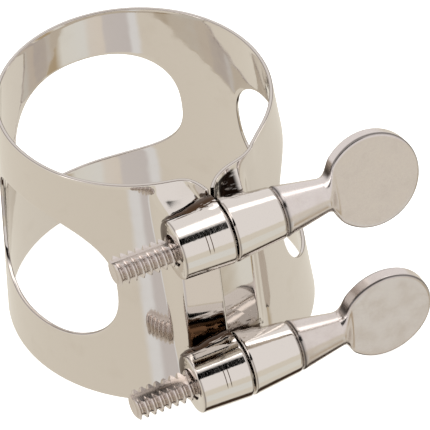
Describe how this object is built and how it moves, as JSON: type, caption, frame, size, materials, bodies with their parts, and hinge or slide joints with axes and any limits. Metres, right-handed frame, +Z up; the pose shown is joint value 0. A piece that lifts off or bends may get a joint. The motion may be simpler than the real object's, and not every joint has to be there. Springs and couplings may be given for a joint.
{
  "type": "saxophone ligature",
  "caption": "Conical sheet-metal ring with three rounded windows, clamped at its gap by two thumbscrews running through split posts.",
  "frame": {"origin": "on the ring's axis in the plane of the wide rim it stands on", "axes": "+Z up the ring's axis to the narrow rim; the gap faces -Y; the screws lie along X with their thumb discs at +X"},
  "size_m": [0.0341, 0.039, 0.0255],
  "materials": {
    "polished_sheet": "bright polished nickel plate on brass sheet",
    "polished_barrel": "bright polished nickel plate on turned brass",
    "satin_casting": "nickel plate, satin disc faces and polished shoulder, on a brass casting"
  },
  "bodies": {
    "fixed_end": {"band": "polished_sheet", "upper_threaded_post": "polished_barrel", "lower_threaded_post": "polished_barrel"},
    "free_end": {"upper_plain_post": "polished_barrel", "lower_plain_post": "polished_barrel"},
    "upper_screw": {"upper_thumbscrew": "satin_casting"},
    "lower_screw": {"lower_thumbscrew": "satin_casting"}
  },
  "joints": [
    {"name": "gap_opening", "type": "slide", "parent": "fixed_end", "child": "free_end", "axis": [1, 0, 0], "range_m": [0, 0.0015]},
    {"name": "upper_screw_turn", "type": "hinge", "parent": "free_end", "child": "upper_screw", "pos_m": [0, -0.0196, 0.02075], "axis": [1, 0, 0], "range_deg": [0, 720]},
    {"name": "lower_screw_turn", "type": "hinge", "parent": "free_end", "child": "lower_screw", "pos_m": [0, -0.0196, 0.0049], "axis": [1, 0, 0], "range_deg": [0, 720]}
  ],
  "couplings": [
    {"joint": "upper_screw_turn", "follows": "gap_opening", "rad_per_m": 8377.6},
    {"joint": "lower_screw_turn", "follows": "gap_opening", "rad_per_m": 8377.6}
  ]
}
